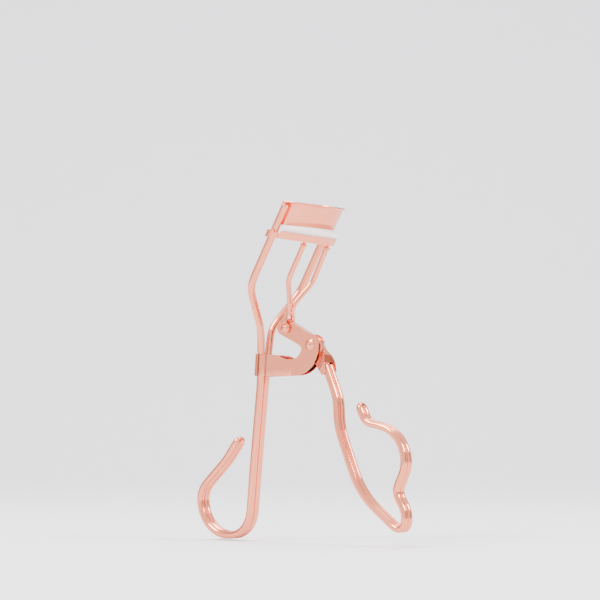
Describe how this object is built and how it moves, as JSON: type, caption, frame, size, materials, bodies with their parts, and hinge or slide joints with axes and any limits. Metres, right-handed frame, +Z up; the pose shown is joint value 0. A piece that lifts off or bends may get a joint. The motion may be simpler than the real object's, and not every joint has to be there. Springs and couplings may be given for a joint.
{
  "type": "eyelash curler",
  "caption": "Hand-held eyelash curler in bent wire and sheet metal, with a curved clamping jaw, a soft pad and a squeeze handle.",
  "frame": {"origin": "middle of the bounding box, at the lowest point of the fixed finger ring", "axes": "+Z up towards the jaws, +X towards the moving handle, +Y square to the plane in which the handles move"},
  "size_m": [0.0825, 0.0298, 0.1052],
  "materials": {
    "rose_gold": "polished rose gold plating",
    "silicone": "soft matte silicone"
  },
  "bodies": {
    "frame": {"frame_wire": "rose_gold", "bracket": "rose_gold", "upper_jaw": "rose_gold", "pivot_rivet": "rose_gold"},
    "lever": {"lever": "rose_gold", "handle_wire": "rose_gold"},
    "link": {"link_near": "rose_gold", "link_far": "rose_gold", "link_rivet": "rose_gold"},
    "jaw": {"lower_jaw": "rose_gold", "pad": "silicone"}
  },
  "joints": [
    {"name": "lever_hinge", "type": "hinge", "parent": "frame", "child": "lever", "pos_m": [0.00495, 0, 0.061], "axis": [0, 1, 0], "range_deg": [-35, 0]},
    {"name": "link_hinge", "type": "hinge", "parent": "lever", "child": "link", "pos_m": [-0.0048, 0, 0.0665], "axis": [0, 1, 0], "range_deg": [0, 31.6]},
    {"name": "jaw_slide", "type": "slide", "parent": "frame", "child": "jaw", "axis": [0.5, 0, 0.866], "range_m": [-0.0068, 0]}
  ],
  "couplings": [
    {"joint": "link_hinge", "follows": "lever_hinge", "ratio": -0.9},
    {"joint": "jaw_slide", "follows": "lever_hinge", "m_per_rad": 0.01108}
  ]
}
